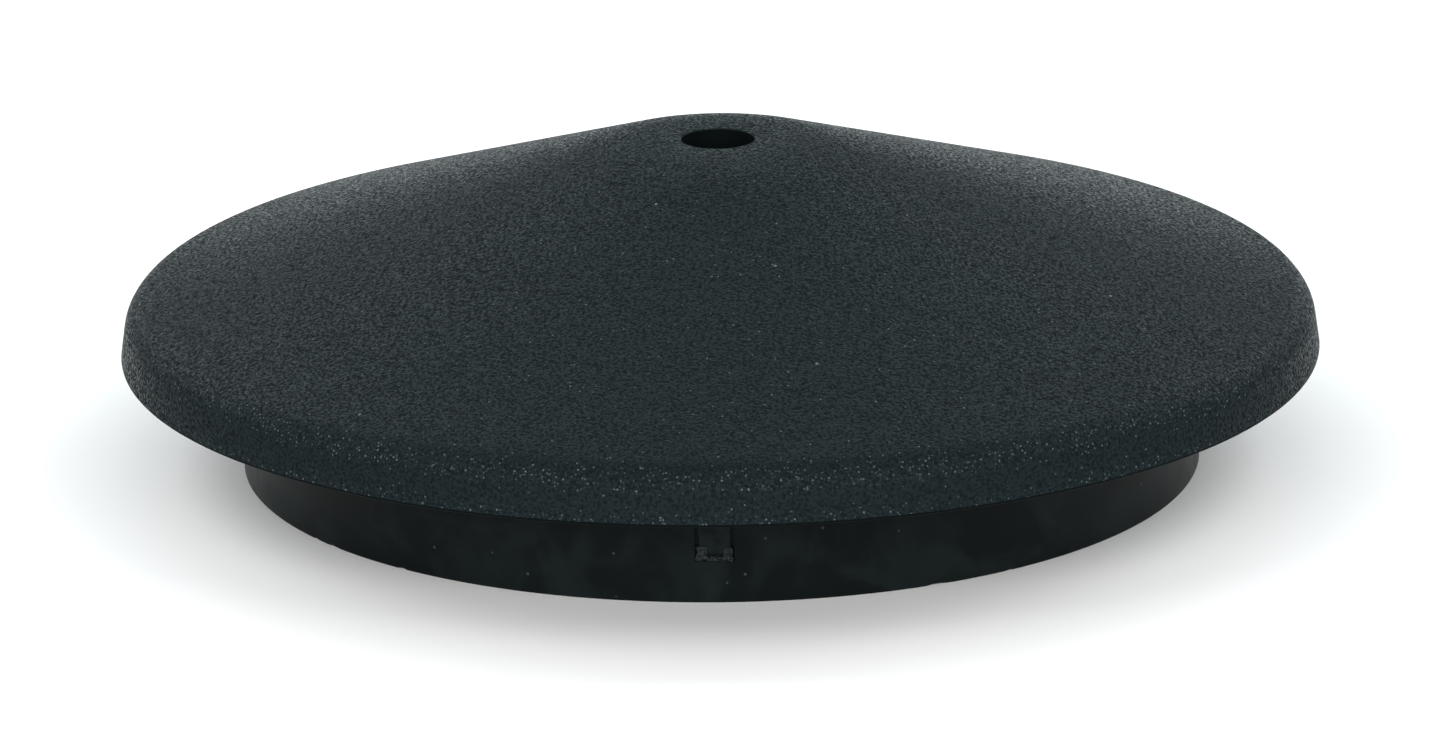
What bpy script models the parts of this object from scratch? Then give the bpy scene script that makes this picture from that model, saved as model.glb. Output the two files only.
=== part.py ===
"""A desk grommet: a domed cap that plugs into a liner ring, which lines a round hole in a desk.

Lengths are in metres and +Z is up. The origin is on the axis, at the liner's lower edge.
Both pieces are drawn from the desk's surface, where the cap's rim and the liner's flange rest:
heights above it are positive. An empty holds that plane at SPIGOT_LENGTH above the origin.
Each piece is one moulding: a turned section, with ribs joined to it and a recess cut from it.
"""

import math

import bmesh
import bpy
from mathutils import Matrix, Vector

# The desk hole and the overall shape
DESK_HOLE_DIAMETER = 0.0800
HOLE_CLEARANCE = 0.0001  # between the spigot and the desk hole, on the radius
RIM_OVERHANG = 0.0100  # how far the cap's rim reaches past the desk hole
SPIGOT_LENGTH = 0.0095  # how far the liner reaches below the desk's surface
CROWN_RISE = 0.0179  # top of the cap above the desk's surface

# Cap: the dome
CAP_WALL = 0.0024
BAND_HEIGHT = 0.0043  # the rim band, up to where its line meets the flank's
BAND_FLARE = 0.0006  # how much further out the band's lower edge is
CROWN_EDGE_RADIUS = 0.0083  # where the flat crown's line meets the flank's
CROWN_FILLET = 0.0168
SHOULDER_FILLET = 0.0030
EDGE_FILLET = 0.0003  # on every small edge of both mouldings

# Cap: the cord hole and its boss
CORD_HOLE_RADIUS = 0.00305
BOSS_WALL = 0.0018
BOSS_DROP = 0.0022  # below the dome's underside

# Cap: the collar that plugs into the liner, and its ribs
COLLAR_CLEARANCE = 0.0003
COLLAR_WALL = 0.0018
COLLAR_DEPTH = 0.0055  # below the desk's surface
COLLAR_LEAD_IN = 0.0005
CRUSH_RIB_COUNT = 6
CRUSH_RIB_RADIUS = 0.0006
CRUSH_RIB_CLEARANCE = 0.0001  # between a crush rib and the liner's bore
STOP_RIB_COUNT = 8
STOP_RIB_WIDTH = 0.0012

# Liner
LINER_WALL = 0.0020
LINER_LEAD_IN = 0.0006
FLANGE_THICKNESS = 0.0016
FLANGE_SKIRT_GAP = 0.0007
SEAT_GAP = 0.0003  # between faces that rest on each other

# Liner: the gate recess and the stub left in it
GATE_WIDTH = 0.0032
GATE_TOP = 0.0005  # below the desk's surface
GATE_HEIGHT = 0.0055
GATE_DEPTH = 0.0005
GATE_SIDE_GAP = 0.0003  # between the stub and the recess's sides
STUB_HEIGHT = 0.0012
STUB_DEPTH = 0.0004

# Fineness
SEGMENTS = 72
RIB_SIDES = 12
FILLET_STEP = math.radians(16)
SMALL_FILLET = 0.0010  # a fillet under this radius has coarse steps
SMALL_FILLET_STEP = math.radians(45)
JOIN_DEPTH = 0.0006  # how far a rib reaches into the wall that it joins
MERGE_DISTANCE = 0.00001
SHARP_ANGLE = math.radians(40)

# Places that follow from the sizes
RIM_RADIUS = DESK_HOLE_DIAMETER / 2 + RIM_OVERHANG
SHOULDER_RADIUS = RIM_RADIUS - BAND_FLARE
SKIRT_RADIUS = RIM_RADIUS - CAP_WALL
SPIGOT_RADIUS = DESK_HOLE_DIAMETER / 2 - HOLE_CLEARANCE
BORE_RADIUS = SPIGOT_RADIUS - LINER_WALL
COLLAR_RADIUS = BORE_RADIUS - COLLAR_CLEARANCE
COLLAR_INNER_RADIUS = COLLAR_RADIUS - COLLAR_WALL
UNDER_CROWN = CROWN_RISE - CAP_WALL
FLANK_SLOPE = (CROWN_RISE - BAND_HEIGHT) / (SHOULDER_RADIUS - CROWN_EDGE_RADIUS)
FLANK_DROP = 1 / math.cos(math.atan(FLANK_SLOPE))  # height that a wall takes up, for each unit of thickness

CAP_COLOR = (0.022, 0.027, 0.029)
CAP_ROUGHNESS = 0.55
LINER_COLOR = (0.014, 0.017, 0.018)
LINER_ROUGHNESS = 0.35


def flank_height(radius, depth):
    """Height of a cone that lies this deep inside the dome's flank and runs along it."""
    return BAND_HEIGHT + (SHOULDER_RADIUS - radius) * FLANK_SLOPE - depth * FLANK_DROP


def flank_radius(height, depth):
    """Radius at which that cone has this height."""
    return SHOULDER_RADIUS - (height - BAND_HEIGHT + depth * FLANK_DROP) / FLANK_SLOPE


def fillet(before, corner, after, radius):
    """Points of the arc that rounds a corner of an outline, or the corner itself if it stays sharp."""
    if radius == 0:
        return [corner]
    back = (before - corner).normalized()
    ahead = (after - corner).normalized()
    half = back.angle(ahead) / 2
    reach = radius / math.tan(half)
    centre = corner + (back + ahead).normalized() * (radius / math.sin(half))
    start = (corner + back * reach - centre).normalized()
    end = (corner + ahead * reach - centre).normalized()
    step_angle = SMALL_FILLET_STEP if radius < SMALL_FILLET else FILLET_STEP
    steps = math.ceil(start.angle(end) / step_angle)
    return [centre + start.slerp(end, step / steps) * radius for step in range(steps + 1)]


def rounded_outline(corners):
    """A closed outline. Each corner is (distance from the axis, height, fillet radius)."""
    places = [Vector((across, up)) for across, up, _ in corners]
    points = []
    for index, (_, _, radius) in enumerate(corners):
        before = places[index - 1]
        after = places[(index + 1) % len(places)]
        points.extend(fillet(before, places[index], after, radius))
    return points


def new_object(name, shape):
    """An object with the finished bmesh as its mesh."""
    mesh = bpy.data.meshes.new(name)
    shape.to_mesh(mesh)
    shape.free()
    item = bpy.data.objects.new(name, mesh)
    bpy.context.scene.collection.objects.link(item)
    return item


def new_empty(name, location):
    empty = bpy.data.objects.new(name, None)
    empty.location = location
    bpy.context.scene.collection.objects.link(empty)
    return empty


def turned(name, outline):
    """A solid of revolution. The outline runs clockwise, with +X to the right and +Z up."""
    shape = bmesh.new()
    verts = [shape.verts.new((point.x, 0.0, point.y)) for point in outline]
    for index, vert in enumerate(verts):
        shape.edges.new((vert, verts[(index + 1) % len(verts)]))
    item = new_object(name, shape)
    screw = item.modifiers.new("turn", "SCREW")
    screw.axis = "Z"
    screw.angle = math.tau
    screw.steps = SEGMENTS
    screw.render_steps = SEGMENTS
    screw.use_merge_vertices = True
    screw.merge_threshold = MERGE_DISTANCE
    screw.use_smooth_shade = True
    return item


def upright_plate(name, outline, width):
    """A plate that stands in the XZ plane, its width along Y."""
    shape = bmesh.new()
    face = shape.faces.new([shape.verts.new((across, -width / 2, up)) for across, up in outline])
    pushed = bmesh.ops.extrude_face_region(shape, geom=[face])["geom"]
    moved = [element for element in pushed if isinstance(element, bmesh.types.BMVert)]
    bmesh.ops.translate(shape, verts=moved, vec=(0.0, width, 0.0))
    bmesh.ops.recalc_face_normals(shape, faces=shape.faces)
    return new_object(name, shape)


def upright_post(name, radius, across, low, high):
    """A round post, this far along +X from the axis."""
    shape = bmesh.new()
    middle = Matrix.Translation((across, 0.0, (low + high) / 2))
    bmesh.ops.create_cone(
        shape, cap_ends=True, segments=RIB_SIDES, radius1=radius, radius2=radius, depth=high - low, matrix=middle
    )
    return new_object(name, shape)


def block(name, low, high):
    """A box between two opposite corners."""
    low, high = Vector(low), Vector(high)
    shape = bmesh.new()
    place = Matrix.LocRotScale((low + high) / 2, None, high - low)
    bmesh.ops.create_cube(shape, size=1.0, matrix=place)
    return new_object(name, shape)


def combine(base, tool, operation):
    """Joins the tool to the base, or cuts it out. The tool stays as a hidden guide that goes with the base."""
    boolean = base.modifiers.new(tool.name, "BOOLEAN")
    boolean.object = tool
    boolean.operation = operation
    boolean.solver = "EXACT"
    tool.hide_render = True
    tool.display_type = "WIRE"
    tool.parent = base


def join_ring_of(base, count, first_angle, make_rib):
    """Joins equal ribs to the base, evenly spaced round the axis. make_rib(number) gives one that points to +X."""
    for number in range(count):
        rib = make_rib(number)
        rib.rotation_euler.z = first_angle + number * math.tau / count
        combine(base, rib, "UNION")


def stop_rib(number):
    """A rib between the collar and the rim. Its lower edge is what seats on the liner's flange."""
    inner = COLLAR_RADIUS - JOIN_DEPTH
    outer = SKIRT_RADIUS + JOIN_DEPTH
    seat = FLANGE_THICKNESS + SEAT_GAP
    top_depth = CAP_WALL - JOIN_DEPTH
    outline = [
        (inner, seat),
        (outer, seat),
        (outer, flank_height(outer, top_depth)),
        (inner, flank_height(inner, top_depth)),
    ]
    return upright_plate(f"guide_stop_rib_{number}", outline, STOP_RIB_WIDTH)


def crush_rib(number):
    """A half-round rib down the collar, which the liner's bore presses on."""
    across = BORE_RADIUS - CRUSH_RIB_CLEARANCE - CRUSH_RIB_RADIUS
    low = COLLAR_LEAD_IN - COLLAR_DEPTH
    high = FLANGE_THICKNESS - LINER_LEAD_IN
    return upright_post(f"guide_crush_rib_{number}", CRUSH_RIB_RADIUS, across, low, high)


def dome_cap():
    """The cap: crown, flank, rim band, skirt, collar and boss in one turned section, with its ribs."""
    boss_radius = CORD_HOLE_RADIUS + BOSS_WALL
    boss_foot = UNDER_CROWN - BOSS_DROP
    skirt_fillet = max(SHOULDER_FILLET - CAP_WALL, EDGE_FILLET)
    cap = turned("dome_cap", rounded_outline([
        (CORD_HOLE_RADIUS, CROWN_RISE, EDGE_FILLET),
        (CROWN_EDGE_RADIUS, CROWN_RISE, CROWN_FILLET),
        (SHOULDER_RADIUS, BAND_HEIGHT, SHOULDER_FILLET),
        (RIM_RADIUS, 0.0, EDGE_FILLET),
        (SKIRT_RADIUS, 0.0, EDGE_FILLET),
        (SKIRT_RADIUS, flank_height(SKIRT_RADIUS, CAP_WALL), skirt_fillet),
        (COLLAR_RADIUS, flank_height(COLLAR_RADIUS, CAP_WALL), 0),
        (COLLAR_RADIUS, -COLLAR_DEPTH, COLLAR_LEAD_IN),
        (COLLAR_INNER_RADIUS, -COLLAR_DEPTH, EDGE_FILLET),
        (COLLAR_INNER_RADIUS, flank_height(COLLAR_INNER_RADIUS, CAP_WALL), 0),
        (flank_radius(UNDER_CROWN, CAP_WALL), UNDER_CROWN, 0),
        (boss_radius, UNDER_CROWN, 0),
        (boss_radius, boss_foot, EDGE_FILLET),
        (CORD_HOLE_RADIUS, boss_foot, EDGE_FILLET),
    ]))
    join_ring_of(cap, STOP_RIB_COUNT, math.pi / STOP_RIB_COUNT, stop_rib)
    join_ring_of(cap, CRUSH_RIB_COUNT, 0.0, crush_rib)
    return cap


def liner_ring():
    """The liner: a spigot that fills the desk hole, under a thin flange that the cap covers."""
    below_skirt = SKIRT_RADIUS - FLANGE_SKIRT_GAP
    below_flank = flank_radius(FLANGE_THICKNESS + SEAT_GAP, CAP_WALL)
    flange_radius = min(below_skirt, below_flank)
    liner = turned("liner_ring", rounded_outline([
        (BORE_RADIUS, FLANGE_THICKNESS, LINER_LEAD_IN),
        (flange_radius, FLANGE_THICKNESS, EDGE_FILLET),
        (flange_radius, 0.0, EDGE_FILLET),
        (SPIGOT_RADIUS, 0.0, 0),
        (SPIGOT_RADIUS, -SPIGOT_LENGTH, EDGE_FILLET),
        (BORE_RADIUS, -SPIGOT_LENGTH, EDGE_FILLET),
    ]))
    floor = -(SPIGOT_RADIUS - GATE_DEPTH)
    foot = -GATE_TOP - GATE_HEIGHT
    recess = block(
        "guide_gate_recess",
        (-GATE_WIDTH / 2, -RIM_RADIUS, foot),
        (GATE_WIDTH / 2, floor, -GATE_TOP),
    )
    combine(liner, recess, "DIFFERENCE")
    stub_side = GATE_WIDTH / 2 - GATE_SIDE_GAP
    stub = block(
        "guide_gate_stub",
        (-stub_side, floor - STUB_DEPTH, foot - JOIN_DEPTH),
        (stub_side, floor + JOIN_DEPTH, foot + STUB_HEIGHT),
    )
    combine(liner, stub, "UNION")
    return liner


def paint(item, color, roughness):
    """Gives the piece its dyed plastic, and smooth shading that keeps its edges crisp."""
    material = bpy.data.materials.new(f"{item.name}_plastic")
    material.use_nodes = True
    shader = material.node_tree.nodes["Principled BSDF"]
    shader.inputs["Base Color"].default_value = (*color, 1.0)
    shader.inputs["Roughness"].default_value = roughness
    shader.inputs["Metallic"].default_value = 0.0
    item.data.materials.append(material)
    item.data.shade_smooth()
    item.data.set_sharp_from_angle(angle=SHARP_ANGLE)


def main():
    for item in list(bpy.data.objects):
        bpy.data.objects.remove(item)
    desk_surface = new_empty("desk_surface", (0.0, 0.0, SPIGOT_LENGTH))
    lift_axis = new_empty("cap_lift_axis", (0.0, 0.0, 0.0))
    lift_axis.parent = desk_surface

    liner = liner_ring()
    liner.parent = desk_surface
    paint(liner, LINER_COLOR, LINER_ROUGHNESS)

    cap = dome_cap()
    cap.parent = lift_axis
    paint(cap, CAP_COLOR, CAP_ROUGHNESS)


main()
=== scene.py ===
"""Domed desk grommet: the moulded cap and its liner ring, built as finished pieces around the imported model.

Lengths are in metres, +Z is up, and -Y is the front, the side of the liner's gate recess.
"""

import math

import bmesh
import bpy
from mathutils import Matrix, Vector


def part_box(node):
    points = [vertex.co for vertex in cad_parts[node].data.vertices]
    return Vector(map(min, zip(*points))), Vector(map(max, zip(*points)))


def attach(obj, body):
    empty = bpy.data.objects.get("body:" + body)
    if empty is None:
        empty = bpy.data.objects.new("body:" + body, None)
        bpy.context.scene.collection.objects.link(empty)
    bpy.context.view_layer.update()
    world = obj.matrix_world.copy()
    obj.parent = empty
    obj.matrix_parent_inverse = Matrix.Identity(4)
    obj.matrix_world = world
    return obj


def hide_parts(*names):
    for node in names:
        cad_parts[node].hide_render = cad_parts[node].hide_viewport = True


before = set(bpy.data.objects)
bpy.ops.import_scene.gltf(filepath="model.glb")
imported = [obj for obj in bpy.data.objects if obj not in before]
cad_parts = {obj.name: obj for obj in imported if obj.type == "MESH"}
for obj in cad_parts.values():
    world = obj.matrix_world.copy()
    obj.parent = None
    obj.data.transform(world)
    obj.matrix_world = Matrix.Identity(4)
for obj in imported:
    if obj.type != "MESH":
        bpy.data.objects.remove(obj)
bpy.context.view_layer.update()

bl_info = {
    "name": "Domed desk grommet",
    "version": (1, 0, 0),
    "blender": (4, 5, 0),
    "location": "3D View > Sidebar > Grommet",
    "description": "Builds a grained domed cap, its smooth liner ring and a plain studio",
    "category": "Object",
}

CAP_LOW, CAP_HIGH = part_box("dome_cap")
LINER_LOW, LINER_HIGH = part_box("liner_ring")

SHARP_ANGLE = math.radians(35)
MERGE_DISTANCE = 0.000004
CAP_POINT_SPACING = 0.0016
CAP_ARC_STEP = math.radians(7)
LINER_POINT_SPACING = 0.0006
LINER_ARC_STEP = math.radians(12)
TEAR_SUBDIVISIONS = 4
POST_SIDES = 32
FLOOR_SIDES = 96

CAP_WAVE_SEED = 3.0
LINER_WAVE_SEED = 11.0
TEAR_SEED = 5.0
NICK_NOISE_SCALE = 260.0

# where painted glints crowd on the cap's shoulder and the band's lower edge, as shares of its shoulder fillet
# and its band height
GLINT_LINE_CENTRE = 0.2
GLINT_LINE_REACH = 0.5
GLINT_FOOT = 0.35

# brightness of marks, as a share of the plastic's
LINER_SMUDGE_TONE = 2.6
LINER_DUST_TONE = 8.0
TAB_STREAK_TONE = 0.6
TORN_PIT_TONE = 0.25

# depth of the finest relief, in metres
LINER_RIPPLE = 0.000002
TORN_RELIEF = 0.00003


# ---------------------------------------------------------------- sizes and colours


def length(name, description, default):
    return bpy.props.FloatProperty(
        name=name, description=description, default=default, min=0.0, precision=5, unit="LENGTH"
    )


def share(name, description, default):
    return bpy.props.FloatProperty(
        name=name, description=description, default=default, min=0.0, max=1.0, subtype="FACTOR"
    )


def color(name, description, default):
    return bpy.props.FloatVectorProperty(
        name=name, description=description, default=default, size=3, min=0.0, max=1.0, subtype="COLOR"
    )


def count(name, description, default):
    return bpy.props.IntProperty(name=name, description=description, default=default, min=1)


def turn(name, description, default):
    return bpy.props.FloatProperty(
        name=name, description=description, default=math.radians(default), subtype="ANGLE"
    )


class CapSettings(bpy.types.PropertyGroup):
    """Sizes and finish of the cap."""

    rim_radius: length("Rim Radius", "Radius of the rim's lower edge", CAP_HIGH.x)
    crown_z: length("Crown Height", "Height of the flat crown", CAP_HIGH.z)
    collar_foot_z: length("Collar Foot", "Height of the collar's lower edge", CAP_LOW.z)
    desk_z: length("Desk Height", "Height of the desk's surface, under the rim", 0.0095)
    wall: length("Wall", "Thickness of the dome and the skirt", 0.0024)
    band_height: length("Band Height", "Height of the rim band", 0.0043)
    band_flare: length("Band Flare", "How much further out the band's lower edge is", 0.0006)
    crown_edge: length("Crown Edge", "Radius where the crown meets the flank", 0.0083)
    crown_fillet: length("Crown Fillet", "Rounding between the crown and the flank", 0.0168)
    shoulder_fillet: length("Shoulder Fillet", "Rounding between the flank and the band", 0.0028)
    edge_fillet: length("Edge Fillet", "Rounding of small edges", 0.00025)
    hole_radius: length("Cord Hole Radius", "Radius of the hole in the crown", 0.00305)
    hole_fillet: length("Cord Hole Fillet", "Rounding of the hole's edge", 0.00012)
    boss_wall: length("Boss Wall", "Thickness of the boss round the cord hole", 0.0018)
    boss_drop: length("Boss Drop", "How far the boss hangs under the dome", 0.0022)
    collar_radius: length("Collar Radius", "Outer radius of the collar", 0.0376)
    collar_wall: length("Collar Wall", "Thickness of the collar", 0.0018)
    lead_in: length("Lead-in", "Rounding of the collar's lower edge", 0.0005)
    stop_ribs: count("Stop Ribs", "Ribs that seat on the liner's flange", 8)
    stop_rib_width: length("Stop Rib Width", "Width of a stop rib", 0.0012)
    crush_ribs: count("Crush Ribs", "Ribs down the collar", 6)
    crush_rib_radius: length("Crush Rib Radius", "Radius of a crush rib", 0.0006)
    crush_rib_stand: length("Crush Rib Stand", "How far a crush rib stands out of the collar", 0.0002)
    seat_gap: length("Seat Gap", "Gap between a stop rib and the flange", 0.0003)
    segments: count("Segments", "Sides of the turned shell", 360)
    waviness: length("Waviness", "How much the moulded faces wander", 0.00004)
    wave_size: length("Wave Size", "Length of one wave of the moulded faces", 0.016)
    plastic: color("Plastic", "Colour of the dyed plastic", (0.0086, 0.0134, 0.0147))
    specular: share("Specular", "Strength of the plastic's surface reflection", 0.018)
    grain_size: length("Grain Size", "Size of one grain of the moulded texture", 0.00026)
    grain_depth: length("Grain Depth", "Depth of the moulded texture", 0.00006)
    top_roughness: share("Top Roughness", "Roughness of the tops of the grain", 0.18)
    pit_roughness: share("Pit Roughness", "Roughness of the pits of the grain", 0.85)
    pit_tone: share("Pit Tone", "Brightness of the pits, as a share of the plastic's", 0.65)
    smooth_tone: share("Smooth Tone", "Brightness of the ungrained faces, as a share of the plastic's", 0.35)
    # painted highlights: this colour is painted on the sparkling grains as glints, and on real dust
    glint_and_dust: color("Glint And Dust", "Colour of the grains that catch the light, and of dust", (0.095, 0.122, 0.128))
    sparkle: share("Sparkle", "Share of the grains that are flat and catch the light", 0.05)
    # painted glints: on top of Sparkle, this share of grains is painted as glints along the shoulder and the
    # band's lower edge
    edge_glint_sparkle: share("Edge Glint Sparkle", "The same where the rim is worn, on top of that", 0.75)


class LinerSettings(bpy.types.PropertyGroup):
    """Sizes and finish of the liner."""

    flange_radius: length("Flange Radius", "Outer radius of the flange", LINER_HIGH.x)
    flange_z: length("Flange Height", "Height of the flange's top", LINER_HIGH.z)
    foot_z: length("Foot", "Height of the spigot's lower edge", LINER_LOW.z)
    desk_z: length("Desk Height", "Height of the desk's surface, under the flange", 0.0095)
    spigot_radius: length("Spigot Radius", "Outer radius of the spigot", 0.0399)
    wall: length("Wall", "Thickness of the spigot", 0.0020)
    lead_in: length("Lead-in", "Rounding of the bore's upper edge", 0.0006)
    edge_fillet: length("Edge Fillet", "Rounding of small edges", 0.00015)
    gate_width: length("Gate Width", "Width of the gate recess", 0.0032)
    gate_top: length("Gate Top", "How far under the flange the recess starts", 0.0005)
    gate_height: length("Gate Height", "Height of the gate recess", 0.0055)
    gate_depth: length("Gate Depth", "Depth of the gate recess", 0.0005)
    tab_gap: length("Tab Gap", "Gap between the gate's tab and the recess's sides", 0.0003)
    tab_sink: length("Tab Sink", "How far the tab's face is under the spigot's", 0.0002)
    stub_height: length("Stub Height", "Height of the torn stub at the tab's foot", 0.0012)
    stub_arm: length("Stub Arm", "Width of each arm of the torn stub", 0.0008)
    tear_depth: length("Tear Depth", "How far the torn faces are pushed about", 0.0009)
    tear_size: length("Tear Size", "Size of one lump of the torn faces", 0.00035)
    segments: count("Segments", "Sides of the turned sleeve", 720)
    waviness: length("Waviness", "How much the moulded faces wander", 0.00005)
    wave_size: length("Wave Size", "Length of one wave of the moulded faces", 0.012)
    nick_depth: length("Nick Depth", "Depth of the nicks along the lower edge", 0.00012)
    plastic: color("Plastic", "Colour of the dyed plastic", (0.0038, 0.0059, 0.0061))
    specular: share("Specular", "Strength of the plastic's surface reflection", 0.058)
    tab_color: color("Tab", "Colour of the duller plastic of the tab", (0.0100, 0.0148, 0.0153))
    tab_specular: share("Tab Specular", "The same for the tab", 0.065)
    # painted highlight: the torn stub's paler colour stands in for the light its upturned torn ledge catches
    torn: color("Torn Plastic", "Colour of the torn gate stub", (0.030, 0.039, 0.041))
    torn_specular: share("Torn Specular", "The same for the torn stub", 0.15)


class StudioSettings(bpy.types.PropertyGroup):
    """The floor, the lights and the camera."""

    floor_color: color("Floor", "Colour of the floor", (0.922, 0.920, 0.918))
    floor_radius: length("Floor Radius", "Radius of the floor", 12.0)
    fill: share("Fill Light", "Radiance of the even light from all round", 0.04)
    camera_distance: length("Camera Distance", "From the camera to the point it looks at", 0.900)
    camera_azimuth: turn("Camera Azimuth", "How far the camera stands to the right of the front", 0.938)
    camera_elevation: turn("Camera Elevation", "Angle above the horizon", 17.033)
    camera_roll: turn("Camera Roll", "Turn about the line of sight", -0.681)
    view_width: length("View Width", "Width of the view at the object", 0.12065)
    aim_x: length("Aim Across", "How far the aim point is to the right of the axis", 0.00015)
    aim_z: length("Aim Height", "Height of the aim point", 0.00687)


# ---------------------------------------------------------------- outlines


def fillet(before, corner, after, radius, step_angle):
    """Points of the arc that rounds a corner of an outline, or the corner itself if it stays sharp."""
    if radius == 0:
        return [corner]
    back = (before - corner).normalized()
    ahead = (after - corner).normalized()
    half = back.angle(ahead) / 2
    reach = radius / math.tan(half)
    centre = corner + (back + ahead).normalized() * (radius / math.sin(half))
    start = (corner + back * reach - centre).normalized()
    end = (corner + ahead * reach - centre).normalized()
    steps = max(2, math.ceil(start.angle(end) / step_angle))
    return [centre + start.slerp(end, step / steps) * radius for step in range(steps + 1)]


def rounded_outline(corners, spacing, step_angle):
    """A closed outline whose straight runs have a point at least every spacing.

    Each corner is (distance from the axis, height, fillet radius, finish). The finish is 1 where the run
    that leaves the corner has the moulded grain, and 0 where it is smooth. It changes at the start of the
    corner's arc.
    """
    places = [Vector((across, up)) for across, up, _, _ in corners]
    rough = []
    for index, (_, _, radius, finish) in enumerate(corners):
        before = places[index - 1]
        after = places[(index + 1) % len(places)]
        arc = fillet(before, places[index], after, radius, step_angle)
        first_finish = finish if len(arc) == 1 else corners[index - 1][3]
        rough.append((arc[0], first_finish))
        rough.extend((point, finish) for point in arc[1:])
    points = []
    for index, (point, finish) in enumerate(rough):
        following = rough[(index + 1) % len(rough)][0]
        steps = max(1, math.ceil((following - point).length / spacing))
        points.extend((point.lerp(following, step / steps), finish) for step in range(steps))
    return points


# ---------------------------------------------------------------- node helpers


def feed(tree, socket, value):
    """Links another node's output to the socket, or sets the socket's own value."""
    if isinstance(value, bpy.types.NodeSocket):
        tree.links.new(value, socket)
    elif value is not None:
        socket.default_value = value


def add(tree, kind, inputs=None, **settings):
    """A new node, with its settings and its inputs. An input's key is the socket's name or its number."""
    made = tree.nodes.new(kind)
    for name, value in settings.items():
        setattr(made, name, value)
    for key, value in (inputs or {}).items():
        feed(tree, made.inputs[key], value)
    return made


def calc(tree, operation, first, second=None, third=None):
    """A Math node's output."""
    made = add(tree, "ShaderNodeMath", {0: first, 1: second, 2: third}, operation=operation)
    return made.outputs[0]


def vector_calc(tree, operation, first, second=None):
    """A Vector Math node's vector output."""
    made = add(tree, "ShaderNodeVectorMath", {0: first, 1: second}, operation=operation)
    return made.outputs["Vector"]


def scaled(tree, vector, factor):
    made = add(tree, "ShaderNodeVectorMath", {0: vector, "Scale": factor}, operation="SCALE")
    return made.outputs["Vector"]


def ramp(tree, value, low, high, to_low=0.0, to_high=1.0):
    """A value taken smoothly from one range to another."""
    inputs = {"Value": value, "From Min": low, "From Max": high, "To Min": to_low, "To Max": to_high}
    made = add(tree, "ShaderNodeMapRange", inputs, interpolation_type="SMOOTHSTEP")
    return made.outputs["Result"]


def new_tree(kind, name, inputs, outputs):
    """An empty node tree with its sockets. Each socket is (name, type, default or None)."""
    tree = bpy.data.node_groups.new(name, kind)
    for in_out, sockets in (("INPUT", inputs), ("OUTPUT", outputs)):
        for socket_name, socket_type, default in sockets:
            made = tree.interface.new_socket(socket_name, in_out=in_out, socket_type=socket_type)
            if default is not None:
                made.default_value = default
    entry = tree.nodes.new("NodeGroupInput")
    leave = tree.nodes.new("NodeGroupOutput")
    return tree, entry.outputs, leave.inputs


# ---------------------------------------------------------------- geometry trees


def finish_tree(tree, geometry, material, leave, smooth):
    """Ends a tree: real geometry, shaded, with its material."""
    real = add(tree, "GeometryNodeRealizeInstances", {"Geometry": geometry})
    shaded = add(tree, "GeometryNodeSetShadeSmooth", {"Geometry": real.outputs[0], "Shade Smooth": smooth})
    painted = add(tree, "GeometryNodeSetMaterial", {"Geometry": shaded.outputs[0], "Material": material})
    tree.links.new(painted.outputs[0], leave["Geometry"])


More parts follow.
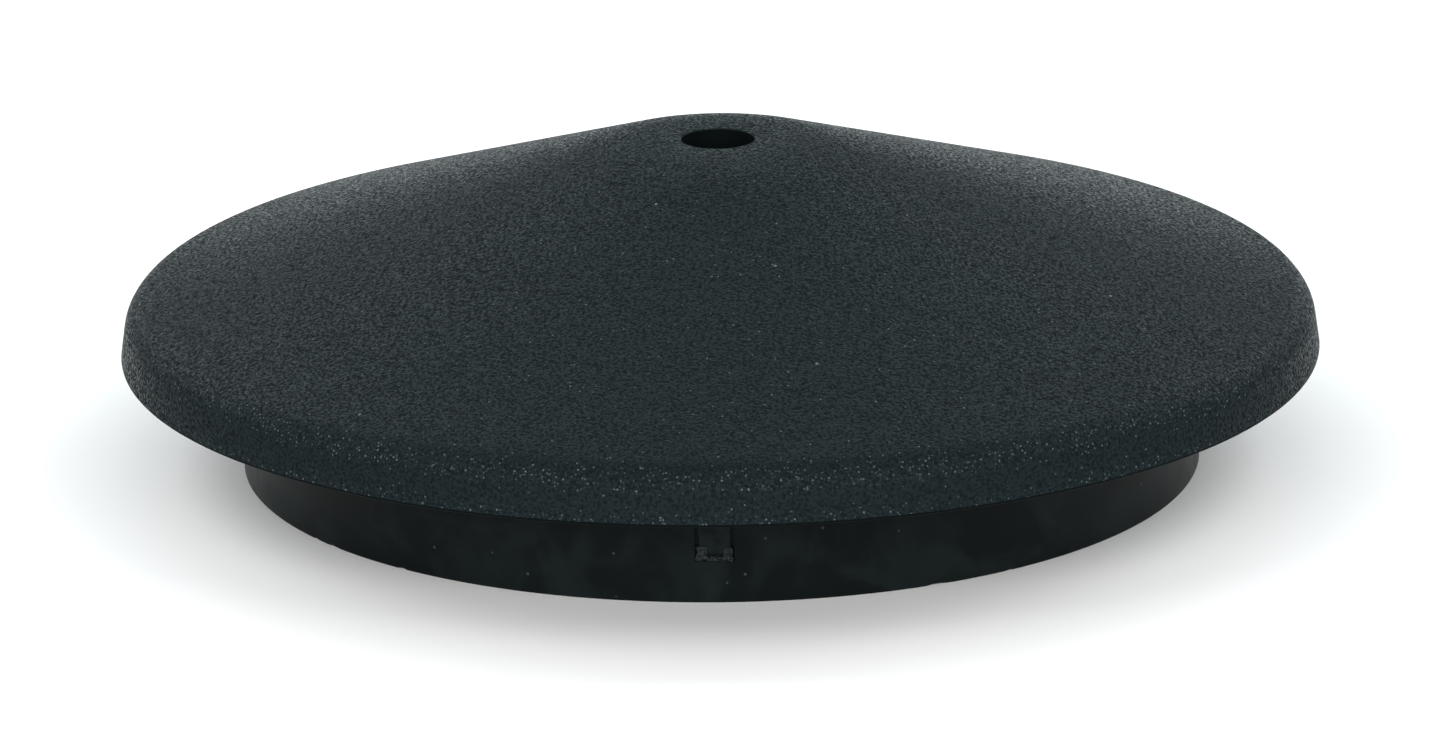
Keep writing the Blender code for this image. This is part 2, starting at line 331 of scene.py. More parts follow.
def turning_tree():
    """Turns an outline of points, drawn across the XZ plane, once round the Z axis."""
    tree, entry, leave = new_tree(
        "GeometryNodeTree",
        "Turned Moulding",
        [
            ("Outline", "NodeSocketGeometry", None),
            ("Segments", "NodeSocketInt", 360),
            ("Waviness", "NodeSocketFloat", 0.0),
            ("Wave Size", "NodeSocketFloat", 0.01),
            ("Nick Depth", "NodeSocketFloat", 0.0),
            ("Nick Below", "NodeSocketFloat", 0.0),
            ("Seed", "NodeSocketFloat", 0.0),
            ("Material", "NodeSocketMaterial", None),
        ],
        [("Geometry", "NodeSocketGeometry", None)],
    )
    points = add(tree, "GeometryNodeAttributeDomainSize", {"Geometry": entry["Outline"]}, component="MESH")
    point_count = points.outputs["Point Count"]
    around = calc(tree, "ADD", entry["Segments"], 1.0)
    along = calc(tree, "ADD", point_count, 1.0)
    grid = add(tree, "GeometryNodeMeshGrid", {"Vertices X": along, "Vertices Y": around})
    index = add(tree, "GeometryNodeInputIndex").outputs[0]
    row = calc(tree, "FLOOR", calc(tree, "DIVIDE", calc(tree, "ADD", index, 0.5), around))
    column = calc(tree, "SUBTRACT", index, calc(tree, "MULTIPLY", row, around))
    point = calc(tree, "MODULO", row, point_count)
    position = add(tree, "GeometryNodeInputPosition").outputs[0]
    place = add(
        tree,
        "GeometryNodeSampleIndex",
        {"Geometry": entry["Outline"], "Value": position, "Index": point},
        data_type="FLOAT_VECTOR",
    )
    named = add(tree, "GeometryNodeInputNamedAttribute", {"Name": "grained"}, data_type="FLOAT")
    finish = add(
        tree,
        "GeometryNodeSampleIndex",
        {"Geometry": entry["Outline"], "Value": named.outputs["Attribute"], "Index": point},
        data_type="FLOAT",
    )
    angle = calc(tree, "MULTIPLY", calc(tree, "DIVIDE", column, entry["Segments"]), math.tau)
    turned = add(
        tree, "ShaderNodeVectorRotate", {"Vector": place.outputs[0], "Angle": angle}, rotation_type="Z_AXIS"
    )
    shaped = add(
        tree, "GeometryNodeSetPosition", {"Geometry": grid.outputs["Mesh"], "Position": turned.outputs[0]}
    )
    marked = add(
        tree,
        "GeometryNodeStoreNamedAttribute",
        {"Geometry": shaped.outputs[0], "Name": "grained", "Value": finish.outputs[0]},
        data_type="FLOAT",
        domain="POINT",
    )
    closed = add(
        tree, "GeometryNodeMergeByDistance", {"Geometry": marked.outputs[0], "Distance": MERGE_DISTANCE}
    )
    wave = add(
        tree,
        "ShaderNodeTexNoise",
        {
            "W": entry["Seed"],
            "Scale": calc(tree, "DIVIDE", 1.0, entry["Wave Size"]),
            "Detail": 1.0,
        },
        noise_dimensions="4D",
    )
    rise = calc(tree, "MULTIPLY", calc(tree, "SUBTRACT", wave.outputs[0], 0.5), entry["Waviness"])
    normal = add(tree, "GeometryNodeInputNormal").outputs[0]
    sideways = vector_calc(tree, "MULTIPLY", normal, (1.0, 1.0, 0.0))
    push = scaled(tree, sideways, rise)
    waved = add(tree, "GeometryNodeSetPosition", {"Geometry": closed.outputs[0], "Offset": push})
    offset = nick_offset(tree, entry)
    nicked = add(tree, "GeometryNodeSetPosition", {"Geometry": waved.outputs[0], "Offset": offset})
    finish_tree(tree, nicked.outputs[0], entry["Material"], leave, True)
    return tree


def nick_offset(tree, entry):
    """Small nicks and flash left along a lower edge: an upward push where a noise round the axis peaks."""
    position = add(tree, "GeometryNodeInputPosition").outputs[0]
    parts = add(tree, "ShaderNodeSeparateXYZ", {"Vector": position}).outputs
    flat = {"X": parts["X"], "Y": parts["Y"], "Z": entry["Seed"]}
    around = add(tree, "ShaderNodeCombineXYZ", flat).outputs[0]
    noise = {"Vector": around, "Scale": NICK_NOISE_SCALE, "Detail": 3.0, "Roughness": 0.7}
    peaks = add(tree, "ShaderNodeTexNoise", noise)
    depth = ramp(tree, peaks.outputs[0], 0.60, 0.70)
    low = calc(tree, "LESS_THAN", parts["Z"], entry["Nick Below"])
    push = calc(tree, "MULTIPLY", calc(tree, "MULTIPLY", depth, low), entry["Nick Depth"])
    return add(tree, "ShaderNodeCombineXYZ", {"Z": push}).outputs[0]


def ring_tree():
    """Repeats one rib, which points to +X, evenly round the Z axis."""
    tree, entry, leave = new_tree(
        "GeometryNodeTree",
        "Ring of Ribs",
        [
            ("Rib", "NodeSocketGeometry", None),
            ("Count", "NodeSocketInt", 6),
            ("First Angle", "NodeSocketFloat", 0.0),
            ("Material", "NodeSocketMaterial", None),
        ],
        [("Geometry", "NodeSocketGeometry", None)],
    )
    points = add(tree, "GeometryNodePoints", {"Count": entry["Count"], "Position": (0.0, 0.0, 0.0)})
    index = add(tree, "GeometryNodeInputIndex").outputs[0]
    step = calc(tree, "DIVIDE", math.tau, entry["Count"])
    angle = calc(tree, "MULTIPLY_ADD", index, step, entry["First Angle"])
    rotation = add(tree, "ShaderNodeCombineXYZ", {"Z": angle}).outputs[0]
    copies = add(
        tree,
        "GeometryNodeInstanceOnPoints",
        {"Points": points.outputs[0], "Instance": entry["Rib"], "Rotation": rotation},
    )
    finish_tree(tree, copies.outputs[0], entry["Material"], leave, False)
    return tree


def tearing_tree():
    """Roughens a block into torn plastic: its faces are subdivided and pushed about by a noise."""
    tree, entry, leave = new_tree(
        "GeometryNodeTree",
        "Torn Stub",
        [
            ("Block", "NodeSocketGeometry", None),
            ("Tear Depth", "NodeSocketFloat", 0.0002),
            ("Tear Size", "NodeSocketFloat", 0.0005),
            ("Seed", "NodeSocketFloat", 0.0),
            ("Material", "NodeSocketMaterial", None),
        ],
        [("Geometry", "NodeSocketGeometry", None)],
    )
    fine = add(tree, "GeometryNodeSubdivideMesh", {"Mesh": entry["Block"], "Level": TEAR_SUBDIVISIONS})
    noise = add(
        tree,
        "ShaderNodeTexNoise",
        {
            "W": entry["Seed"],
            "Scale": calc(tree, "DIVIDE", 1.0, entry["Tear Size"]),
            "Detail": 4.0,
            "Roughness": 0.65,
        },
        noise_dimensions="4D",
    )
    centred = vector_calc(tree, "SUBTRACT", noise.outputs["Color"], (0.5, 0.5, 0.5))
    push = scaled(tree, centred, entry["Tear Depth"])
    torn = add(tree, "GeometryNodeSetPosition", {"Geometry": fine.outputs[0], "Offset": push})
    finish_tree(tree, torn.outputs[0], entry["Material"], leave, True)
    return tree


def geometry_tree(name, build):
    """The tree of that name, built the first time it is asked for."""
    return bpy.data.node_groups.get(name) or build()


def run_tree(item, tree, values):
    """Runs a geometry tree on the item with these inputs, and leaves its result as the item's plain mesh."""
    modifier = item.modifiers.new(tree.name, "NODES")
    modifier.node_group = tree
    for socket in tree.interface.items_tree:
        if socket.in_out == "INPUT" and socket.name in values:
            modifier[socket.identifier] = values[socket.name]
    freeze(item)


def freeze(item):
    """Makes the result of the item's modifiers its plain mesh, and removes them and any empty slot."""
    bpy.context.view_layer.update()
    depsgraph = bpy.context.evaluated_depsgraph_get()
    mesh = bpy.data.meshes.new_from_object(item.evaluated_get(depsgraph))
    if not mesh.polygons:
        raise RuntimeError(f"{item.name} came out with no faces: its sizes don't fit together")
    for slot in reversed(range(len(mesh.materials))):
        if mesh.materials[slot] is None:
            mesh.materials.pop(index=slot)
    before = item.data
    item.modifiers.clear()
    item.data = mesh
    bpy.data.meshes.remove(before)
    mesh.name = item.name


# ---------------------------------------------------------------- meshes


def new_object(name, shape):
    """An object with the finished bmesh as its mesh."""
    mesh = bpy.data.meshes.new(name)
    shape.to_mesh(mesh)
    shape.free()
    item = bpy.data.objects.new(name, mesh)
    bpy.context.scene.collection.objects.link(item)
    return item


def outline_object(name, outline):
    """The outline as loose points in order, each with its finish."""
    mesh = bpy.data.meshes.new(name)
    mesh.from_pydata([(point.x, 0.0, point.y) for point, _ in outline], [], [])
    grained = mesh.attributes.new("grained", "FLOAT", "POINT")
    grained.data.foreach_set("value", [float(finish) for _, finish in outline])
    item = bpy.data.objects.new(name, mesh)
    bpy.context.scene.collection.objects.link(item)
    return item


def add_block(shape, low, high):
    """Adds a box between two opposite corners to a bmesh."""
    low, high = Vector(low), Vector(high)
    bmesh.ops.create_cube(shape, size=1.0, matrix=Matrix.LocRotScale((low + high) / 2, None, high - low))


def block_object(name, low, high, bevel=0.0):
    """A box between two opposite corners, with its edges broken by a small bevel."""
    shape = bmesh.new()
    add_block(shape, low, high)
    if bevel:
        bmesh.ops.bevel(shape, geom=shape.edges[:], offset=bevel, segments=2, affect="EDGES", profile=0.5)
    return new_object(name, shape)


def plate_object(name, outline, width, bevel):
    """A plate that stands in the XZ plane, its width along Y, with its edges broken."""
    shape = bmesh.new()
    face = shape.faces.new([shape.verts.new((across, -width / 2, up)) for across, up in outline])
    pushed = bmesh.ops.extrude_face_region(shape, geom=[face])["geom"]
    moved = [element for element in pushed if isinstance(element, bmesh.types.BMVert)]
    bmesh.ops.translate(shape, verts=moved, vec=(0.0, width, 0.0))
    bmesh.ops.recalc_face_normals(shape, faces=shape.faces)
    bmesh.ops.bevel(shape, geom=shape.edges[:], offset=bevel, segments=2, affect="EDGES", profile=0.5)
    return new_object(name, shape)


def post_object(name, radius, across, low, high, bevel):
    """A round post, this far along +X from the axis, with rounded ends."""
    shape = bmesh.new()
    middle = Matrix.Translation((across, 0.0, (low + high) / 2))
    bmesh.ops.create_cone(
        shape,
        cap_ends=True,
        segments=POST_SIDES,
        radius1=radius,
        radius2=radius,
        depth=high - low,
        matrix=middle,
    )
    ends = [edge for edge in shape.edges if abs(edge.verts[0].co.z - edge.verts[1].co.z) < MERGE_DISTANCE]
    bmesh.ops.bevel(shape, geom=ends, offset=bevel, segments=3, affect="EDGES", profile=0.5)
    return new_object(name, shape)


def cut(item, tool):
    """Cuts the tool out of the item, and removes the tool."""
    boolean = item.modifiers.new(tool.name, "BOOLEAN")
    boolean.object = tool
    boolean.operation = "DIFFERENCE"
    boolean.solver = "EXACT"
    freeze(item)
    bpy.data.objects.remove(tool)


def crisp(item):
    """Smooth shading that keeps the sharp edges."""
    item.data.shade_smooth()
    item.data.set_sharp_from_angle(angle=SHARP_ANGLE)


def hand_over(item, body, node):
    """The item rides on its body and stands for its CAD node, which is hidden."""
    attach(item, body)
    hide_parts(node)


# ---------------------------------------------------------------- shader groups


def grain_group():
    """Moulded grain: fine random bumps, the tone of each, and a mask of the few grains that are painted as
    glints.
    """
    tree, entry, leave = new_tree(
        "ShaderNodeTree",
        "Moulded Grain",
        [
            ("Vector", "NodeSocketVector", None),
            ("Grain Size", "NodeSocketFloat", 0.0002),
            ("Sparkle Share", "NodeSocketFloat", 0.0),
        ],
        [
            ("Height", "NodeSocketFloat", None),
            ("Tone", "NodeSocketFloat", None),
            ("Sparkle", "NodeSocketFloat", None),
        ],
    )
    cells = scaled(tree, entry["Vector"], calc(tree, "DIVIDE", 1.0, entry["Grain Size"]))
    noise = add(tree, "ShaderNodeTexNoise", {"Vector": cells, "Scale": 1.0, "Detail": 1.5, "Roughness": 0.6})
    height = noise.outputs[0]
    specks = add(tree, "ShaderNodeTexVoronoi", {"Vector": cells, "Scale": 1.0}, feature="F1")
    chance = add(tree, "ShaderNodeSeparateXYZ", {"Vector": specks.outputs["Color"]}).outputs
    lucky = calc(tree, "LESS_THAN", chance["X"], entry["Sparkle Share"])
    strength = calc(tree, "MULTIPLY_ADD", calc(tree, "POWER", chance["Y"], 3.0), 0.92, 0.08)
    near = ramp(tree, specks.outputs["Distance"], 0.15, 0.45, 1.0, 0.0)
    feed(tree, leave["Height"], height)
    feed(tree, leave["Tone"], ramp(tree, height, 0.30, 0.70))
    feed(tree, leave["Sparkle"], calc(tree, "MULTIPLY", calc(tree, "MULTIPLY", lucky, near), strength))
    return tree


def handling_group():
    """What handling leaves on a plastic: faint broad smudges, and a few pale dust specks."""
    tree, entry, leave = new_tree(
        "ShaderNodeTree",
        "Handling Marks",
        [
            ("Vector", "NodeSocketVector", None),
            ("Smudge Size", "NodeSocketFloat", 0.012),
            ("Dust Spacing", "NodeSocketFloat", 0.006),
            ("Dust Size", "NodeSocketFloat", 0.00013),
        ],
        [("Smudge", "NodeSocketFloat", None), ("Dust", "NodeSocketFloat", None)],
    )
    broad = scaled(tree, entry["Vector"], calc(tree, "DIVIDE", 1.0, entry["Smudge Size"]))
    cloud = add(
        tree,
        "ShaderNodeTexNoise",
        {"Vector": broad, "Scale": 1.0, "Detail": 4.0, "Roughness": 0.55, "Distortion": 0.6},
    ).outputs[0]
    spread = scaled(tree, entry["Vector"], calc(tree, "DIVIDE", 1.0, entry["Dust Spacing"]))
    motes = add(tree, "ShaderNodeTexVoronoi", {"Vector": spread, "Scale": 1.0}, feature="F1")
    reach = calc(tree, "DIVIDE", entry["Dust Size"], entry["Dust Spacing"])
    near = calc(tree, "LESS_THAN", motes.outputs["Distance"], reach)
    feed(tree, leave["Smudge"], ramp(tree, cloud, 0.42, 0.66))
    feed(tree, leave["Dust"], near)
    return tree


def placed_group(tree, name, build, inputs):
    """A shader group as a node in a material, with this material's own values."""
    made = tree.nodes.new("ShaderNodeGroup")
    made.node_tree = bpy.data.node_groups.get(name) or build()
    for key, value in inputs.items():
        feed(tree, made.inputs[key], value)
    return made.outputs


# ---------------------------------------------------------------- materials


def new_material(name, base, shader_values):
    """A material with a Principled BSDF, whose even values sit on the shader's own sockets."""
    material = bpy.data.materials.new(name)
    material.use_nodes = True
    tree = material.node_tree
    shader = tree.nodes["Principled BSDF"]
    shader.inputs["Base Color"].default_value = (*base, 1.0)
    for key, value in shader_values.items():
        shader.inputs[key].default_value = value
    place = add(tree, "ShaderNodeTexCoord").outputs["Object"]
    return material, tree, shader, place


def tinted(tree, base, other, amount):
    """Mixes two colours by an amount that changes over the surface."""
    made = add(tree, "ShaderNodeMix", data_type="RGBA", blend_type="MIX")
    feed(tree, made.inputs[0], amount)
    feed(tree, made.inputs[6], base if isinstance(base, bpy.types.NodeSocket) else (*base, 1.0))
    feed(tree, made.inputs[7], other if isinstance(other, bpy.types.NodeSocket) else (*other, 1.0))
    return made.outputs[2]


def cap_material(settings):
    """Black plastic, grained where the attribute says so and smooth elsewhere, with painted glints on a few
    grains and pale dust.
    """
    base = tuple(settings.plastic)
    reflection = {"Specular IOR Level": settings.specular}
    material, tree, shader, place = new_material("cap_grained_plastic", base, reflection)
    height = add(tree, "ShaderNodeSeparateXYZ", {"Vector": place}).outputs["Z"]
    # painted glints: more grains are painted in the glint colour along the shoulder fillet and near the
    # band's lower edge
    shoulder = settings.desk_z + settings.band_height
    corner = shoulder - settings.shoulder_fillet * GLINT_LINE_CENTRE
    away = calc(tree, "ABSOLUTE", calc(tree, "SUBTRACT", height, corner))
    glinting = ramp(tree, away, 0.0, settings.shoulder_fillet * GLINT_LINE_REACH, 1.0, 0.0)
    glint_foot_top = settings.desk_z + settings.band_height * GLINT_FOOT
    foot = ramp(tree, height, settings.desk_z, glint_foot_top, 1.0, 0.0)
    glint_mask = calc(tree, "MAXIMUM", glinting, foot)
    chance = calc(tree, "MULTIPLY_ADD", glint_mask, settings.edge_glint_sparkle, settings.sparkle)
    inputs = {"Vector": place, "Grain Size": settings.grain_size, "Sparkle Share": chance}
    grain = placed_group(tree, "Moulded Grain", grain_group, inputs)
    marks = placed_group(tree, "Handling Marks", handling_group, {"Vector": place})
    grained = add(tree, "ShaderNodeAttribute", attribute_name="grained").outputs["Fac"]
    sparkle = calc(tree, "MULTIPLY", grain["Sparkle"], grained)
    dark = tuple(channel * settings.pit_tone for channel in base)
    pale = tuple(channel * (2 - settings.pit_tone) for channel in base)
    smooth = tuple(channel * settings.smooth_tone for channel in base)
    toned = tinted(tree, dark, pale, grain["Tone"])
    shade = tinted(tree, smooth, toned, grained)
    # painted highlights on the sparkling grains, and real dust, in the glint and dust colour
    shade = tinted(tree, shade, tuple(settings.glint_and_dust), calc(tree, "MAXIMUM", sparkle, marks["Dust"]))
    feed(tree, shader.inputs["Base Color"], shade)
    even = calc(tree, "MULTIPLY_ADD", marks["Smudge"], 0.05, 0.45)
    contrast = settings.top_roughness - settings.pit_roughness
    uneven = calc(tree, "MULTIPLY_ADD", grain["Tone"], contrast, settings.pit_roughness)
    rough = add(tree, "ShaderNodeMix", {0: grained, 2: even, 3: uneven}, data_type="FLOAT").outputs[0]
    feed(tree, shader.inputs["Roughness"], rough)
    relief = calc(tree, "MULTIPLY", grain["Height"], grained)
    bump = add(tree, "ShaderNodeBump", {"Strength": 1.0, "Distance": settings.grain_depth, "Height": relief})
    feed(tree, shader.inputs["Normal"], bump.outputs["Normal"])
    return material


def liner_material(settings):
    """Black plastic from a polished mould: smooth, with faint smudges, dust and a very slight ripple."""
    base = tuple(settings.plastic)
    reflection = {"Specular IOR Level": settings.specular}
    material, tree, shader, place = new_material("liner_smooth_plastic", base, reflection)
    inputs = {"Vector": place, "Smudge Size": 0.006, "Dust Spacing": 0.0020}
    marks = placed_group(tree, "Handling Marks", handling_group, inputs)
    grain = placed_group(tree, "Moulded Grain", grain_group, {"Vector": place, "Grain Size": 0.0005})
    pale = tuple(channel * LINER_SMUDGE_TONE for channel in base)
    dusty = tuple(channel * LINER_DUST_TONE for channel in base)
    shade = tinted(tree, base, pale, calc(tree, "MULTIPLY", marks["Smudge"], 0.6))
    shade = tinted(tree, shade, dusty, marks["Dust"])
    feed(tree, shader.inputs["Base Color"], shade)
    rough = calc(tree, "MULTIPLY_ADD", marks["Smudge"], 0.10, 0.30)
    feed(tree, shader.inputs["Roughness"], rough)
    relief = {"Strength": 1.0, "Distance": LINER_RIPPLE, "Height": grain["Height"]}
    bump = add(tree, "ShaderNodeBump", relief)
    feed(tree, shader.inputs["Normal"], bump.outputs["Normal"])
    return material


def tab_material(settings):
    """The gate's tab: the same plastic, dull and streaked where it flowed."""
    base = tuple(settings.tab_color)
    reflection = {"Specular IOR Level": settings.tab_specular}
    material, tree, shader, place = new_material("gate_tab_plastic", base, reflection)
    marks = placed_group(tree, "Handling Marks", handling_group, {"Vector": place, "Smudge Size": 0.0012})
    dark = tuple(channel * TAB_STREAK_TONE for channel in base)
    feed(tree, shader.inputs["Base Color"], tinted(tree, base, dark, marks["Smudge"]))
    feed(tree, shader.inputs["Roughness"], calc(tree, "MULTIPLY_ADD", marks["Smudge"], 0.10, 0.50))
    return material


def torn_material(settings):
    """The torn gate stub: the same plastic, dull, with a paler colour that is a painted highlight of its torn
    ledge catching the light.
    """
    base = tuple(settings.torn)
    reflection = {"Specular IOR Level": settings.torn_specular}
    # painted highlight: the stub's paler base colour stands in for light caught by the torn ledge
    material, tree, shader, place = new_material("torn_gate_plastic", base, reflection)
    grain = placed_group(tree, "Moulded Grain", grain_group, {"Vector": place, "Grain Size": 0.00015})
    dark = tuple(channel * TORN_PIT_TONE for channel in base)
    feed(tree, shader.inputs["Base Color"], tinted(tree, dark, base, grain["Tone"]))
    feed(tree, shader.inputs["Roughness"], calc(tree, "MULTIPLY_ADD", grain["Tone"], -0.2, 0.7))
    relief = {"Strength": 1.0, "Distance": TORN_RELIEF, "Height": grain["Height"]}
    bump = add(tree, "ShaderNodeBump", relief)
    feed(tree, shader.inputs["Normal"], bump.outputs["Normal"])
    return material


def finish(name, build, settings):
    """The material of that name, built the first time it is asked for."""
    return bpy.data.materials.get(name) or build(settings)


# ---------------------------------------------------------------- pieces


def flank_height(settings, radius, depth):
    """Height of a cone that lies this deep inside the dome's flank and runs along it."""
    return flank_line(settings)[0] - radius * flank_line(settings)[1] - depth * flank_line(settings)[2]


def flank_line(settings):
    """The flank's height on the axis if it went on, its slope, and the height each unit of wall takes up."""
    shoulder = settings.rim_radius - settings.band_flare
    low = settings.desk_z + settings.band_height
    slope = (settings.crown_z - low) / (shoulder - settings.crown_edge)
    return low + shoulder * slope, slope, 1 / math.cos(math.atan(slope))


def cap_outline(settings):
    """The cap's section, clockwise from the cord hole's upper edge."""
    axis_height, slope, drop = flank_line(settings)
    desk = settings.desk_z
    shoulder = settings.rim_radius - settings.band_flare
    skirt = settings.rim_radius - settings.wall
    collar = settings.collar_radius
    bore = collar - settings.collar_wall
    under_crown = settings.crown_z - settings.wall
    under_edge = (axis_height - settings.wall * drop - under_crown) / slope
    boss = settings.hole_radius + settings.boss_wall
    boss_foot = under_crown - settings.boss_drop
    edge = settings.edge_fillet
    show = [
        (settings.hole_radius, settings.crown_z, settings.hole_fillet, 1),
        (settings.crown_edge, settings.crown_z, settings.crown_fillet, 1),
        (shoulder, desk + settings.band_height, settings.shoulder_fillet, 1),
        (settings.rim_radius, desk, edge, 0),
    ]
    hidden = [
        (skirt, desk, edge, 0),
        (skirt, flank_height(settings, skirt, settings.wall), settings.shoulder_fillet - settings.wall, 0),
        (collar, flank_height(settings, collar, settings.wall), 0, 0),
        (collar, settings.collar_foot_z, settings.lead_in, 0),
        (bore, settings.collar_foot_z, edge, 0),
        (bore, flank_height(settings, bore, settings.wall), 0, 0),
        (under_edge, under_crown, 0, 0),
        (boss, under_crown, 0, 0),
        (boss, boss_foot, edge, 0),
        (settings.hole_radius, boss_foot, edge, 0),
    ]
    return rounded_outline(show + hidden, CAP_POINT_SPACING, CAP_ARC_STEP)


class GROMMET_OT_cap_shell(bpy.types.Operator):
    """Turns the cap's section: crown, flank, rim band, skirt, collar and boss"""

    bl_idname = "grommet.cap_shell"
    bl_label = "Cap Shell"

    def execute(self, context):
        settings = context.scene.grommet_cap
        shell = outline_object("cap_shell", cap_outline(settings))
        values = {
            "Segments": settings.segments,
            "Waviness": settings.waviness,
            "Wave Size": settings.wave_size,
            "Seed": CAP_WAVE_SEED,
            "Material": finish("cap_grained_plastic", cap_material, settings),
        }
        run_tree(shell, geometry_tree("Turned Moulding", turning_tree), values)
        crisp(shell)
        hand_over(shell, "cap", "dome_cap")
        return {"FINISHED"}


class GROMMET_OT_cap_ribs(bpy.types.Operator):
    """Adds the ribs that seat on the flange, and the ribs down the collar"""

    bl_idname = "grommet.cap_ribs"
    bl_label = "Cap Ribs"

    def execute(self, context):
        settings = context.scene.grommet_cap
        material = finish("cap_grained_plastic", cap_material, settings)
        ring = geometry_tree("Ring of Ribs", ring_tree)
        join = settings.wall / 4
        inner = settings.collar_radius - join
        outer = settings.rim_radius - settings.wall + join
        seat = LINER_HIGH.z + settings.seat_gap
        depth = settings.wall - join
        outline = [
            (inner, seat),
            (outer, seat),
            (outer, flank_height(settings, outer, depth)),
            (inner, flank_height(settings, inner, depth)),
        ]
        stops = plate_object("cap_stop_ribs", outline, settings.stop_rib_width, settings.edge_fillet / 2)
        first = math.pi / settings.stop_ribs
        run_tree(stops, ring, {"Count": settings.stop_ribs, "First Angle": first, "Material": material})
        low = settings.collar_foot_z + settings.lead_in
        across = settings.collar_radius + settings.crush_rib_stand - settings.crush_rib_radius
        high = LINER_HIGH.z - 2 * join
        bevel = settings.edge_fillet / 2
        crush = post_object("cap_crush_ribs", settings.crush_rib_radius, across, low, high, bevel)
        run_tree(crush, ring, {"Count": settings.crush_ribs, "First Angle": 0.0, "Material": material})
        for ribs in (stops, crush):
            crisp(ribs)
            hand_over(ribs, "cap", "dome_cap")
        return {"FINISHED"}


def liner_outline(settings):
    """The liner's section, clockwise from the bore's upper edge."""
    bore = settings.spigot_radius - settings.wall
    edge = settings.edge_fillet
    corners = [
        (bore, settings.flange_z, settings.lead_in, 0),
        (settings.flange_radius, settings.flange_z, edge, 0),
        (settings.flange_radius, settings.desk_z, edge, 0),
        (settings.spigot_radius, settings.desk_z, 0, 0),
        (settings.spigot_radius, settings.foot_z, edge, 0),
        (bore, settings.foot_z, edge, 0),
    ]
    return rounded_outline(corners, LINER_POINT_SPACING, LINER_ARC_STEP)


class GROMMET_OT_liner_sleeve(bpy.types.Operator):
    """Turns the liner's section, and cuts the gate recess in its front"""

    bl_idname = "grommet.liner_sleeve"
    bl_label = "Liner Sleeve"

    def execute(self, context):
        settings = context.scene.grommet_liner
        sleeve = outline_object("liner_sleeve", liner_outline(settings))
        values = {
            "Segments": settings.segments,
            "Waviness": settings.waviness,
            "Wave Size": settings.wave_size,
            "Nick Depth": settings.nick_depth,
            "Nick Below": settings.foot_z + settings.edge_fillet * 1.5,
            "Seed": LINER_WAVE_SEED,
            "Material": finish("liner_smooth_plastic", liner_material, settings),
        }
        run_tree(sleeve, geometry_tree("Turned Moulding", turning_tree), values)
        top = settings.desk_z - settings.gate_top
        foot = top - settings.gate_height
        floor = -(settings.spigot_radius - settings.gate_depth)
        half = settings.gate_width / 2
        cut(sleeve, block_object("recess_tool", (-half, -settings.flange_radius, foot), (half, floor, top)))
        crisp(sleeve)
        hand_over(sleeve, "liner", "liner_ring")
        return {"FINISHED"}


class GROMMET_OT_gate_tab(bpy.types.Operator):
    """Fills the recess with the gate's tab, a duller strip with a narrow groove down each side"""

    bl_idname = "grommet.gate_tab"
    bl_label = "Gate Tab"

    def execute(self, context):
        settings = context.scene.grommet_liner
        half = settings.gate_width / 2 - settings.tab_gap
        top = settings.desk_z - settings.gate_top
        foot = top - settings.gate_height
        face = -(settings.spigot_radius - settings.tab_sink)
        behind = -(settings.spigot_radius - settings.wall / 2)
        low = (-half, face, foot + settings.stub_height / 2)
        high = (half, behind, top + settings.tab_gap)
        tab = block_object("liner_gate_tab", low, high, settings.edge_fillet / 2)
        tab.data.materials.append(finish("gate_tab_plastic", tab_material, settings))
        crisp(tab)
        hand_over(tab, "liner", "liner_ring")
        return {"FINISHED"}


class GROMMET_OT_gate_stub(bpy.types.Operator):
    """Leaves the torn stub of the gate at the foot of its tab, two arms and a bar round a pit"""

    bl_idname = "grommet.gate_stub"
    bl_label = "Gate Stub"

    def execute(self, context):
        settings = context.scene.grommet_liner
        foot = settings.desk_z - settings.gate_top - settings.gate_height
        face = -(settings.spigot_radius - settings.tab_sink / 2)
        behind = -(settings.spigot_radius - settings.wall / 2)
        half = settings.gate_width / 2 - settings.tab_gap / 2
        inner = half - settings.stub_arm
        top = foot + settings.stub_height
        shape = bmesh.new()
        add_block(shape, (-half, face, foot), (-inner, behind, top))
        add_block(shape, (inner, face, foot), (half, behind, top - settings.tab_gap / 2))
        below = foot - settings.tab_gap / 2
        add_block(shape, (-inner, face, below), (inner, behind, foot + settings.tab_gap))
        stub = new_object("liner_gate_stub", shape)
        values = {
            "Tear Depth": settings.tear_depth,
            "Tear Size": settings.tear_size,
            "Seed": TEAR_SEED,
            "Material": finish("torn_gate_plastic", torn_material, settings),
        }
        run_tree(stub, geometry_tree("Torn Stub", tearing_tree), values)
        hand_over(stub, "liner", "liner_ring")
        return {"FINISHED"}


# ---------------------------------------------------------------- studio

COOL = (0.89, 1.0, 1.03)
WHITE = (1.0, 1.0, 1.0)

# name, azimuth from the back and elevation in degrees, distance, width and height, radiance, colour
SOFTBOXES = (
    ("front_softbox", 180, 26, 1.6, (2.7, 0.8), 4.7, WHITE),
    ("front_left_softbox", 225, 24, 1.6, (1.4, 0.8), 0.8, WHITE),
    ("front_right_softbox", 135, 24, 1.6, (1.4, 0.8), 0.8, WHITE),
    ("left_softbox", 270, 50, 1.6, (1.4, 0.8), 2.2, WHITE),
    ("right_softbox", 90, 50, 1.6, (1.4, 0.8), 2.2, WHITE),
    ("back_left_softbox", 315, 24, 1.6, (1.4, 0.8), 1.7, WHITE),
    ("back_right_softbox", 45, 24, 1.6, (1.4, 0.8), 1.7, WHITE),
    ("back_softbox", 0, 40, 1.3, (4.0, 0.65), 3.2, COOL),
    ("back_panel", 0, 6, 3.0, (2.6, 0.63), 1.3, COOL),
)


def floor_material(settings):
    """Plain pale paper."""
    material = bpy.data.materials.new("studio_floor")
    material.use_nodes = True
    shader = material.node_tree.nodes["Principled BSDF"]
    shader.inputs["Base Color"].default_value = (*settings.floor_color, 1.0)
    shader.inputs["Roughness"].default_value = 0.9
    shader.inputs["Specular IOR Level"].default_value = 0.1
    return material


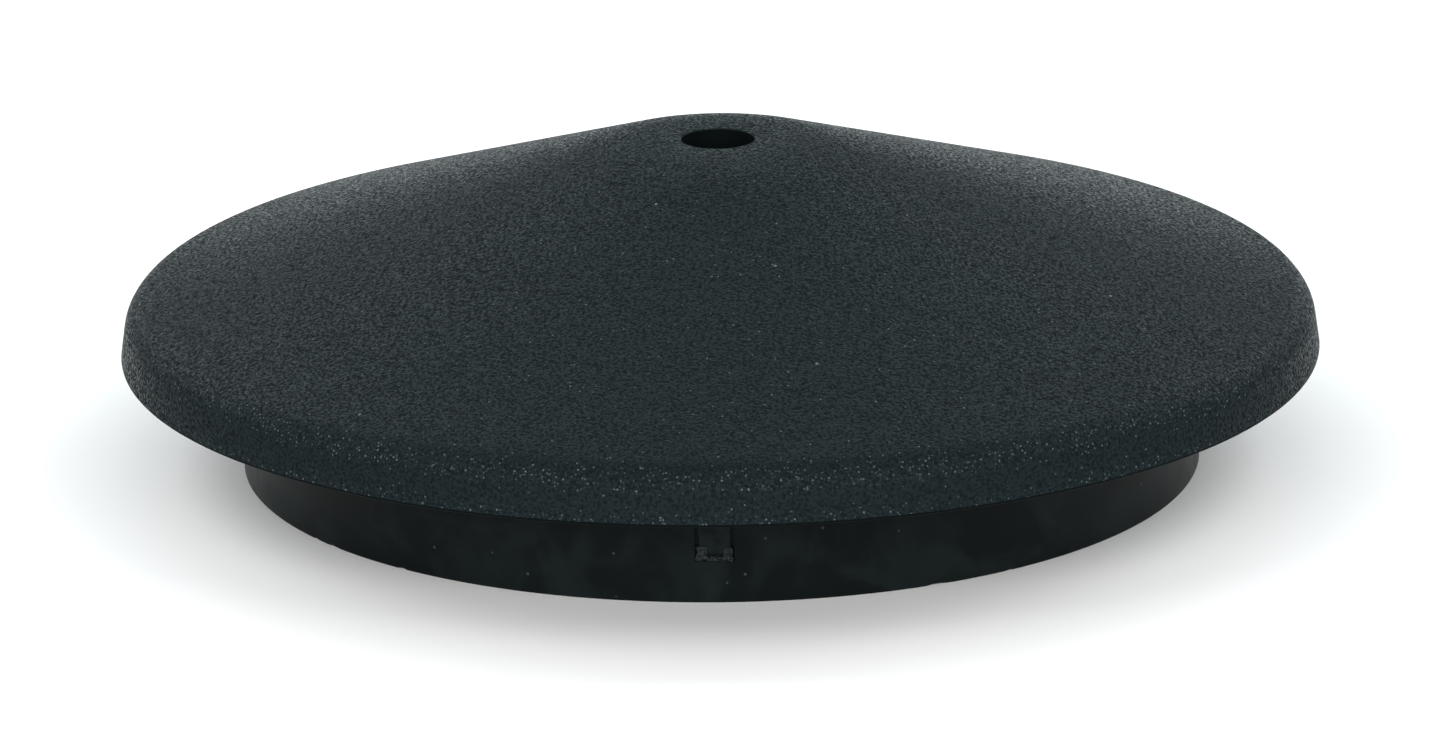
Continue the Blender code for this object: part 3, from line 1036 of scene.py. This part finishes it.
def softbox(name, azimuth, elevation, distance, size, radiance, tint):
    """A rectangular softbox that faces the object. The radiance is that of its face."""
    light = bpy.data.lights.new(name, "AREA")
    light.shape = "RECTANGLE"
    light.size, light.size_y = size
    light.energy = radiance * math.pi * size[0] * size[1]
    light.color = tint
    around, up = math.radians(azimuth), math.radians(elevation)
    toward = Vector((math.sin(around) * math.cos(up), math.cos(around) * math.cos(up), math.sin(up)))
    item = bpy.data.objects.new(name, light)
    item.location = toward * distance
    item.rotation_euler = (-toward).to_track_quat("-Z", "Y").to_euler()
    bpy.context.scene.collection.objects.link(item)


class GROMMET_OT_studio(bpy.types.Operator):
    """Lays the floor, and sets the lights and the camera"""

    bl_idname = "grommet.studio"
    bl_label = "Studio"

    def execute(self, context):
        settings = context.scene.grommet_studio
        shape = bmesh.new()
        bmesh.ops.create_circle(
            shape, cap_ends=True, segments=FLOOR_SIDES, radius=settings.floor_radius
        )
        floor = new_object("studio_floor", shape)
        floor.location.z = LINER_LOW.z
        floor.data.materials.append(floor_material(settings))

        world = bpy.data.worlds.new("studio_world")
        world.use_nodes = True
        background = world.node_tree.nodes["Background"]
        background.inputs["Color"].default_value = (1.0, 1.0, 1.0, 1.0)
        background.inputs["Strength"].default_value = settings.fill
        context.scene.world = world
        context.scene.view_settings.view_transform = "Standard"

        for box in SOFTBOXES:
            softbox(*box)
        self.camera(context, settings)
        return {"FINISHED"}

    def camera(self, context, settings):
        data = bpy.data.cameras.new("studio_camera")
        data.sensor_width = 36.0
        data.lens = data.sensor_width * settings.camera_distance / settings.view_width
        data.clip_start = 0.01
        data.clip_end = 50.0
        item = bpy.data.objects.new("studio_camera", data)
        around, tilt = settings.camera_azimuth, settings.camera_elevation
        right = Vector((math.cos(around), math.sin(around), 0.0))
        level_back = Vector((math.sin(around), -math.cos(around), 0.0))
        back = level_back * math.cos(tilt) + Vector((0.0, 0.0, math.sin(tilt)))
        aim = right * settings.aim_x + Vector((0.0, 0.0, settings.aim_z))
        item.location = aim + back * settings.camera_distance
        level = (-back).to_track_quat("-Z", "Y").to_matrix()
        roll = Matrix.Rotation(settings.camera_roll, 3, "Z")
        item.rotation_euler = (level @ roll).to_euler()
        context.scene.collection.objects.link(item)
        context.scene.camera = item


# ---------------------------------------------------------------- add-on


class GROMMET_PT_panel(bpy.types.Panel):
    """Lists the steps that build the grommet"""

    bl_label = "Desk Grommet"
    bl_idname = "GROMMET_PT_panel"
    bl_space_type = "VIEW_3D"
    bl_region_type = "UI"
    bl_category = "Grommet"

    def draw(self, context):
        for step in STEPS:
            self.layout.operator(step.bl_idname)


STEPS = (
    GROMMET_OT_cap_shell,
    GROMMET_OT_cap_ribs,
    GROMMET_OT_liner_sleeve,
    GROMMET_OT_gate_tab,
    GROMMET_OT_gate_stub,
    GROMMET_OT_studio,
)
SETTINGS = {"grommet_cap": CapSettings, "grommet_liner": LinerSettings, "grommet_studio": StudioSettings}


def register():
    for name, group in SETTINGS.items():
        bpy.utils.register_class(group)
        setattr(bpy.types.Scene, name, bpy.props.PointerProperty(type=group))
    for item in (*STEPS, GROMMET_PT_panel):
        bpy.utils.register_class(item)


def unregister():
    for item in (GROMMET_PT_panel, *reversed(STEPS)):
        bpy.utils.unregister_class(item)
    for name, group in SETTINGS.items():
        delattr(bpy.types.Scene, name)
        bpy.utils.unregister_class(group)


def main():
    register()
    for step in STEPS:
        package, name = step.bl_idname.split(".")
        getattr(getattr(bpy.ops, package), name)()


if __name__ == "__main__":
    main()
